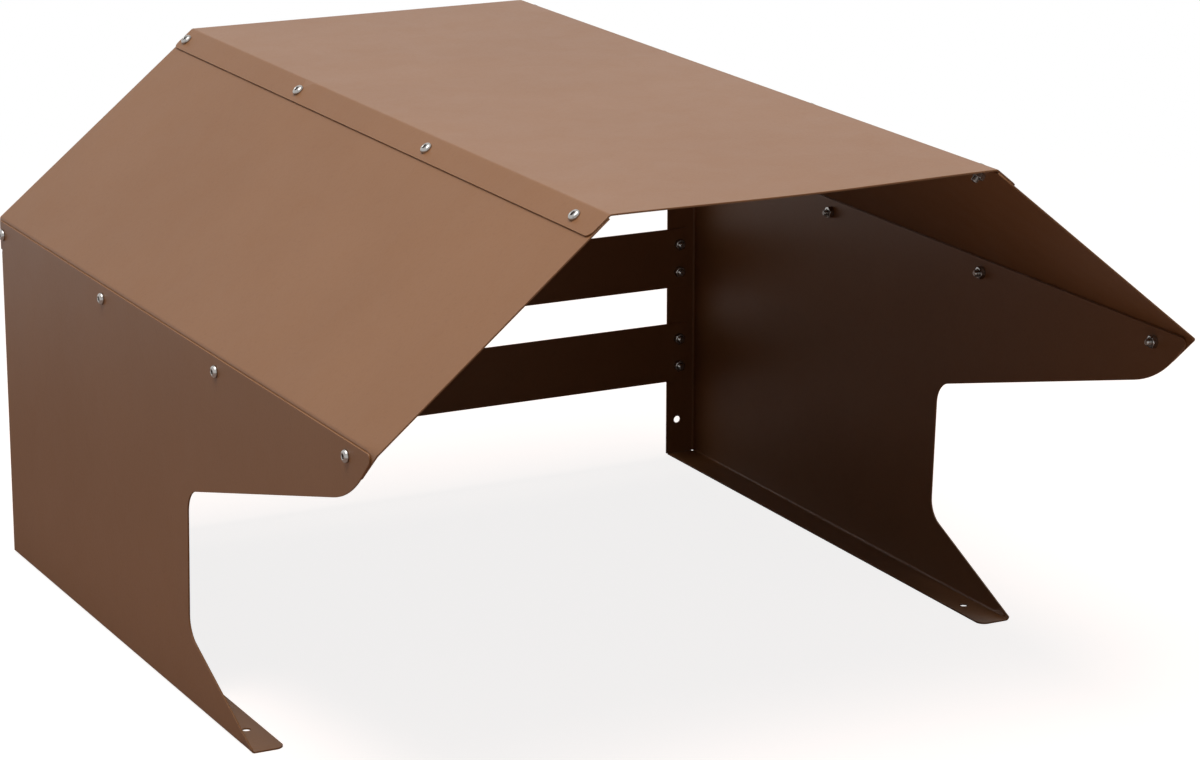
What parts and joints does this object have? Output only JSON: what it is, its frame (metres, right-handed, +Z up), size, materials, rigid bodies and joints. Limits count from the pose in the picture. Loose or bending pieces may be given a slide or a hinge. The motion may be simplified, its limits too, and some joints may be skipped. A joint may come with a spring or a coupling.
{
  "type": "sheet metal shelter",
  "caption": "Folded sheet-metal shelter with sloped roof sides, visor-shaped side walls, rear slats and an open front.",
  "frame": {"origin": "centre of the footprint, on the ground plane", "axes": "+Z up; the open front and its visor face -Y; the slatted rear faces +Y; +X to the right seen from the front"},
  "size_m": [0.7274, 0.844, 0.476],
  "materials": {
    "powder_coat": "fine-textured satin bronze-brown powder coat on folded steel sheet",
    "stainless": "plain stainless fasteners, lightly polished heads"
  },
  "bodies": {
    "root": {"roof_panel": "powder_coat", "left_slope_panel": "powder_coat", "right_slope_panel": "powder_coat", "left_wall": "powder_coat", "right_wall": "powder_coat", "upper_slat": "powder_coat", "lower_slat": "powder_coat", "left_roof_screws": "stainless", "right_roof_screws": "stainless", "left_roof_nuts": "stainless", "right_roof_nuts": "stainless", "left_eave_screws": "stainless", "right_eave_screws": "stainless", "left_eave_nuts": "stainless", "right_eave_nuts": "stainless", "upper_left_slat_screws": "stainless", "upper_right_slat_screws": "stainless", "lower_left_slat_screws": "stainless", "lower_right_slat_screws": "stainless", "upper_left_slat_nuts": "stainless", "upper_right_slat_nuts": "stainless", "lower_left_slat_nuts": "stainless", "lower_right_slat_nuts": "stainless"}
  },
  "joints": []
}
